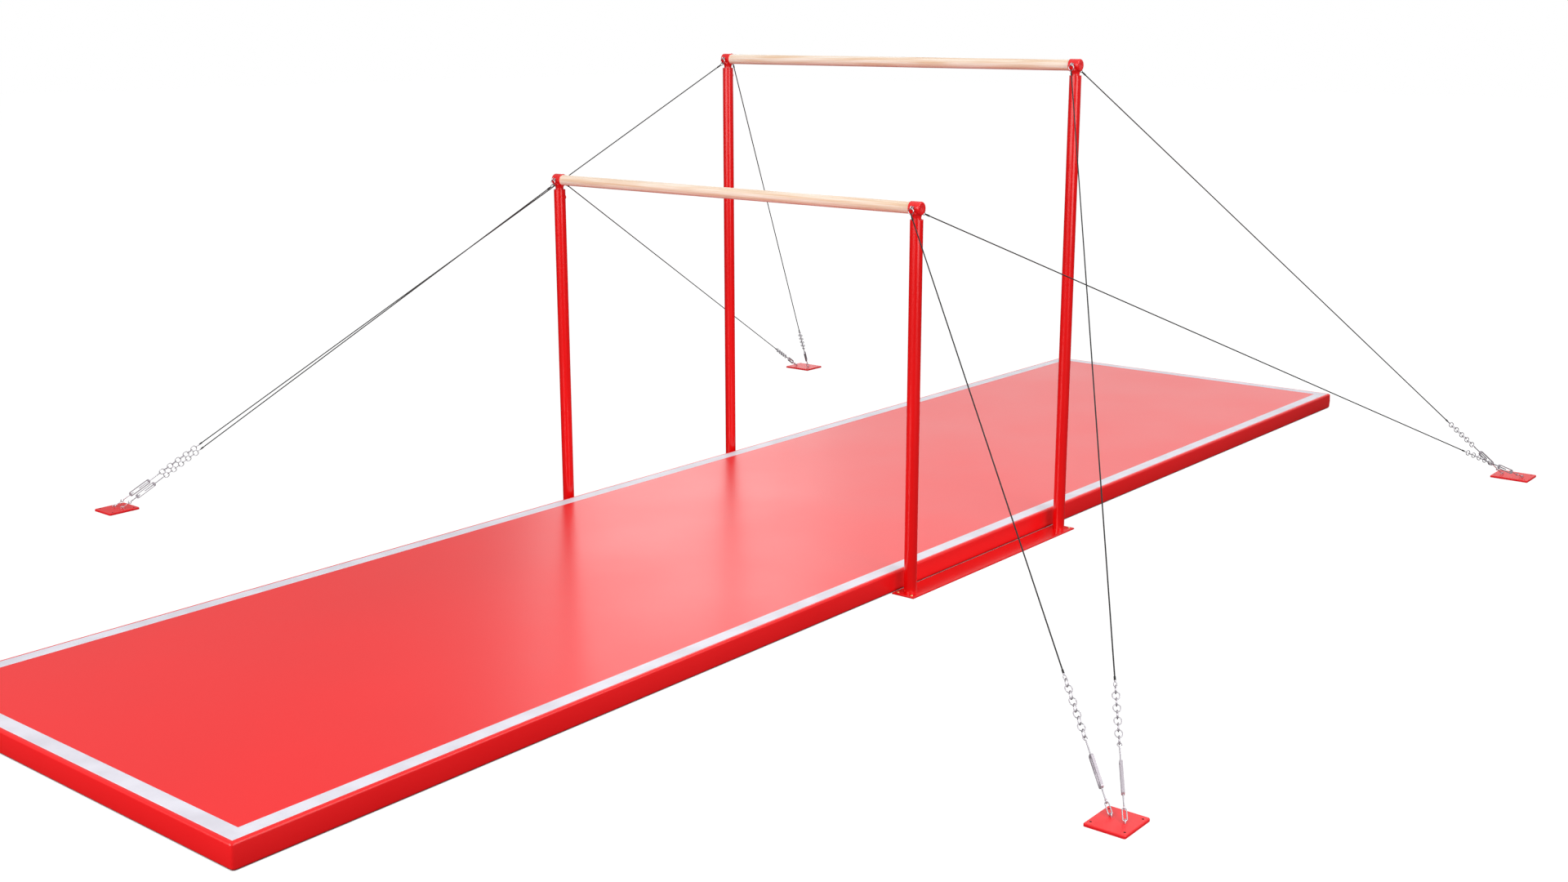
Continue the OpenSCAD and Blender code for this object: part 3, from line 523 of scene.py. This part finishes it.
growth = add_node(tree, "TexNoise", inputs={
    "Vector": stretched(tree, GRAIN_WIDTH, GRAIN_LENGTH), "Scale": 1.0, "Detail": 4.0,
    "Distortion": 0.6})
growth_colour = add_node(tree, "ValToRGB", inputs={"Fac": growth.outputs["Fac"]},
                         ramp=((0.30, "#F0D4B6"), (0.62, "#FFF3E6")))
staves = add_node(tree, "TexNoise", inputs={
    "Vector": stretched(tree, STAVE_WIDTH, STAVE_LENGTH), "Scale": 1.0, "Detail": 1.0})
stave_shade = add_node(tree, "ValToRGB", inputs={"Fac": staves.outputs["Fac"]},
                       ramp=((0.35, "#F1DECB"), (0.6, "#FFFFFF")))
wood_colour = add_node(tree, "Mix", {"data_type": "RGBA", "blend_type": "MULTIPLY"}, {
    "Factor": 0.8, 6: growth_colour.outputs["Color"], 7: stave_shade.outputs["Color"]})
tree.links.new(wood_colour.outputs[2], shader.inputs["Base Color"])
pores = add_node(tree, "TexNoise", inputs={
    "Vector": stretched(tree, PORE_WIDTH, PORE_LENGTH), "Scale": 1.0, "Detail": 2.0})
pore_relief = add_node(tree, "Bump", inputs={
    "Height": pores.outputs["Fac"], "Distance": FINE_RELIEF, "Strength": 0.35})
tree.links.new(pore_relief.outputs["Normal"], shader.inputs["Normal"])
dress(ash, "low_rail", "high_rail")

glass_fibre, tree, shader = start_material("pultruded_glass_fibre", "#C9CDB8", 0.3, ior=1.54)
rovings = add_node(tree, "TexNoise", inputs={
    "Vector": stretched(tree, ROVING_WIDTH, ROVING_LENGTH), "Scale": 1.0, "Detail": 2.0})
roving_colour = add_node(tree, "ValToRGB", inputs={"Fac": rovings.outputs["Fac"]},
                         ramp=((0.0, "#AEB59B"), (1.0, "#DADDCB")))
tree.links.new(roving_colour.outputs["Color"], shader.inputs["Base Color"])
dress(glass_fibre, "low_rail_core", "high_rail_core")

# ---------------------------------------------------------------------------
# Anchor plates and staples: thick steel plates in a lighter red enamel, with
# four holes for floor bolts, and two arches of bright steel rod on each.
# ---------------------------------------------------------------------------
# How far the painted shade in the plate's holes looks, and where that shade is full and where it
# ends.
HOLE_SHADE_REACH = 0.02
HOLE_SHADE_FULL, HOLE_SHADE_NONE = 0.6, 0.95
PLATE_SHEEN = 0.4

anchor_enamel = enamel("light_red_plate_enamel", "#EA1D23", "#F3252B", 0.34, 0.0)
tree = anchor_enamel.node_tree
shader = next(node for node in tree.nodes if node.type == "BSDF_PRINCIPLED")
shader.inputs["Specular IOR Level"].default_value = PLATE_SHEEN
plate_tone = shader.inputs["Base Color"].links[0].from_socket
# Painted shade: an occlusion test darkens the plate's colour towards a near-black red in its
# fixing holes and other hollows, where the light is kept out.
recess = add_node(tree, "AmbientOcclusion", {
    "samples": OCCLUSION_SAMPLES, "only_local": True}, {"Distance": HOLE_SHADE_REACH})
painted_hole_shade = add_node(tree, "MapRange", inputs={
    "Value": recess.outputs["AO"], "From Min": HOLE_SHADE_FULL, "From Max": HOLE_SHADE_NONE})
plate_colour = add_node(tree, "Mix", {"data_type": "RGBA"}, {
    "Factor": painted_hole_shade.outputs["Result"], 6: hex_linear("#2A0A0B"), 7: plate_tone})
tree.links.new(plate_colour.outputs[2], shader.inputs["Base Color"])
dress(anchor_enamel, "anchor_plates_front", "anchor_plates_back")

galvanised = worked_steel("bright_galvanised_steel", "#B9B5BB", "#DAD6DC",
                          roughness=0.30, mark=0.004, strength=0.12, metallic=0.75)
dress(galvanised, "anchor_staples")

# ---------------------------------------------------------------------------
# Guy lines: a long link and hook at the plate, a turnbuckle, a second hook
# with nine chain links, and a steel rope. All the steel is galvanised, and
# the turnbuckle's forged frame is a shade darker and duller.
# ---------------------------------------------------------------------------
frame_galvanised = worked_steel("dull_galvanised_forging", "#B4ACB4", "#CEC7CE",
                                roughness=0.42, mark=0.003, strength=0.15, metallic=0.5)
joints = {joint["name"]: joint for joint in frame["joints"]}
line_names = [name[len("tilt_"):] for name in joints if name.startswith("tilt_")]
for line in line_names:
    dress(galvanised, "chain_" + line, "hook_" + line)
    dress(frame_galvanised, "turnbuckle_" + line)

# ---------------------------------------------------------------------------
# Ropes: 6 mm galvanised wire rope under a black PVC coat, through which the
# strands show as a faint helix. Each is drawn tight between a crimped sleeve
# at the chain and one below the loop that holds the head's ring.
# ---------------------------------------------------------------------------
ROPE_RADIUS = 0.003
ROPE_SIDES = 16
ROPE_POINTS = 24
ROPE_LAY = 0.040
ROPE_STRANDS = 6
ROPE_START = 0.5955
LOOP_LENGTH = 0.0285
LOOP_RADIUS = 0.00625
LOOP_STRAIGHT = 0.008
LOOP_WIRE = 0.00175
LOOP_REACH = 0.00435
LOOP_STEPS = 12
SLEEVE_LENGTH = 0.018
ROPE_CREASE = 60
SLEEVE_CREASE = 50
STRAND_HEIGHT = 0.0003
SLEEVE_RIB = 0.0016667
SLEEVE_RIB_HEIGHT = 0.0002
# Distances along a sleeve and a ferrule, each with the radius there: two crimps
# pinch the sleeve between its rounded ends.
SLEEVE_SHAPE = (
    (0, 0.0032), (0.0006, 0.0044), (0.004, 0.0045), (0.0055, 0.0041), (0.007, 0.0045),
    (0.011, 0.0045), (0.0125, 0.0041), (0.014, 0.0045), (0.0174, 0.0044),
    (SLEEVE_LENGTH, 0.0032))
FERRULE_SHAPE = ((0, 0.0032), (0.0008, 0.00375), (0.0072, 0.00375), (0.008, 0.0032))

coated_rope, tree, shader = start_material("black_pvc_coated_wire_rope", "#161818", 0.38)
along_rope = add_node(tree, "SeparateXYZ", inputs={
    "Vector": add_node(tree, "UVMap", {"uv_map": "rope"}).outputs["UV"]})
turns = add_node(tree, "Math", {"operation": "MULTIPLY"}, {
    0: along_rope.outputs["Y"], 1: 1 / ROPE_LAY})
phase = add_node(tree, "Math", {"operation": "ADD"}, {
    0: along_rope.outputs["X"], 1: turns.outputs[0]})
strand = add_node(tree, "Math", {"operation": "MULTIPLY"}, {
    0: phase.outputs[0], 1: 2 * math.pi * ROPE_STRANDS})
crown = add_node(tree, "Math", {"operation": "SINE"}, {0: strand.outputs[0]})
rope_relief = add_node(tree, "Bump", inputs={
    "Height": crown.outputs[0], "Distance": STRAND_HEIGHT, "Strength": 0.5})
tree.links.new(rope_relief.outputs["Normal"], shader.inputs["Normal"])
rope_colour = add_node(tree, "MapRange", inputs={
    "Value": crown.outputs[0], "From Min": -1.0, "From Max": 1.0})
rope_tone = add_node(tree, "ValToRGB", inputs={"Fac": rope_colour.outputs["Result"]},
                     ramp=((0.0, "#0C0D0D"), (1.0, "#242726")))
tree.links.new(rope_tone.outputs["Color"], shader.inputs["Base Color"])

black_sleeve, tree, shader = start_material("shrunk_black_sleeve", "#141515", 0.5)
sleeve_ribs = add_node(tree, "TexNoise", inputs={
    "Vector": add_node(tree, "TexCoord").outputs["Object"], "Scale": 1 / SLEEVE_RIB,
    "Detail": 2.0})
sleeve_relief = add_node(tree, "Bump", inputs={
    "Height": sleeve_ribs.outputs["Fac"], "Distance": SLEEVE_RIB_HEIGHT, "Strength": 0.3})
tree.links.new(sleeve_relief.outputs["Normal"], shader.inputs["Normal"])
sleeve_tone = add_node(tree, "ValToRGB", inputs={"Fac": sleeve_ribs.outputs["Fac"]},
                       ramp=((0.0, "#0B0B0B"), (1.0, "#232424")))
tree.links.new(sleeve_tone.outputs["Color"], shader.inputs["Base Color"])


def tube(bm, points, radii, sides, closed=False):
    """Sweeps a circle along points, with one radius per point. Its UV goes once round
    across, and in metres along."""
    uv = bm.loops.layers.uv.verify()
    count = len(points)
    rings, travelled, run = [], [], 0.0
    previous = None
    for i, point in enumerate(points):
        ahead = points[(i + 1) % count] if closed or i < count - 1 else point
        behind = points[i - 1] if closed or i > 0 else point
        way = (ahead - behind).normalized()
        if previous is None:
            across = way.orthogonal().normalized()
        else:
            across = (previous - way * previous.dot(way)).normalized()
        previous = across
        other = way.cross(across)
        if i:
            run += (point - points[i - 1]).length
        travelled.append(run)
        angles = [2 * math.pi * k / sides for k in range(sides)]
        rings.append([
            bm.verts.new(point + radii[i] * (across * math.cos(a) + other * math.sin(a)))
            for a in angles])
    spans = count if closed else count - 1
    for i in range(spans):
        j = (i + 1) % count
        for k in range(sides):
            m = (k + 1) % sides
            face = bm.faces.new((rings[i][k], rings[i][m], rings[j][m], rings[j][k]))
            last = travelled[j] if j else travelled[i] + (points[0] - points[i]).length
            corners = ((k, travelled[i]), (k + 1, travelled[i]), (k + 1, last), (k, last))
            for loop, (step, distance) in zip(face.loops, corners):
                loop[uv].uv = (step / sides, distance)
    if not closed:
        bm.faces.new(reversed(rings[0]))
        bm.faces.new(rings[-1])


low, high = (Vector(c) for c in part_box("base_plate_right"))
head_x = (low.x + high.x) / 2
ring_way = Vector((1, 0, 0))
for line in line_names:
    foot = Vector(joints["tilt_" + line]["pos_m"])
    up = Vector(joints["stretch_" + line]["axis"]).normalized()
    body = "rope_" + line
    side = 1 if "right" in line else -1
    reach = (side * head_x - foot.x) / up.x
    loop_end = reach + LOOP_REACH / math.sqrt(1 - up.x ** 2)
    rope_end = loop_end - LOOP_LENGTH
    route = [foot + up * (ROPE_START + (rope_end - ROPE_START) * i / (ROPE_POINTS - 1))
             for i in range(ROPE_POINTS)]
    rope_bm = bmesh.new()
    tube(rope_bm, route, [ROPE_RADIUS] * ROPE_POINTS, ROPE_SIDES)
    rope = mesh_object("rope_cable_" + line, rope_bm, coated_rope, body)
    rope.data.uv_layers[0].name = "rope"
    rope.data.set_sharp_from_angle(angle=math.radians(ROPE_CREASE))
    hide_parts("rope_" + line)

    sleeve_bm = bmesh.new()
    for start in (ROPE_START, rope_end - SLEEVE_LENGTH):
        tube(sleeve_bm, [foot + up * (start + along) for along, _ in SLEEVE_SHAPE],
             [radius for _, radius in SLEEVE_SHAPE], ROPE_SIDES)
    sleeves = mesh_object("rope_sleeves_" + line, sleeve_bm, black_sleeve, body)
    sleeves.data.set_sharp_from_angle(angle=math.radians(SLEEVE_CREASE))
    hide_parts("rope_" + line)

    flat = (ring_way - up * up.dot(ring_way)).normalized()
    wide = up.cross(flat)
    bends = (loop_end - LOOP_RADIUS, loop_end - LOOP_RADIUS - LOOP_STRAIGHT)
    loop_route = []
    for bend, first in zip(bends, (0, 180)):
        for step in range(LOOP_STEPS + 1):
            turn = math.radians(first + 180 * step / LOOP_STEPS)
            loop_route.append(foot + up * (bend + LOOP_RADIUS * math.sin(turn))
                              + wide * LOOP_RADIUS * math.cos(turn))
    loop_bm = bmesh.new()
    tube(loop_bm, loop_route, [LOOP_WIRE] * len(loop_route), ROPE_SIDES, closed=True)
    tube(loop_bm, [foot + up * (rope_end + along) for along, _ in FERRULE_SHAPE],
         [radius for _, radius in FERRULE_SHAPE], ROPE_SIDES)
    loop = mesh_object("rope_loop_" + line, loop_bm, black_sleeve, body)
    loop.data.set_sharp_from_angle(angle=math.radians(SLEEVE_CREASE))
    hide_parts("rope_" + line)
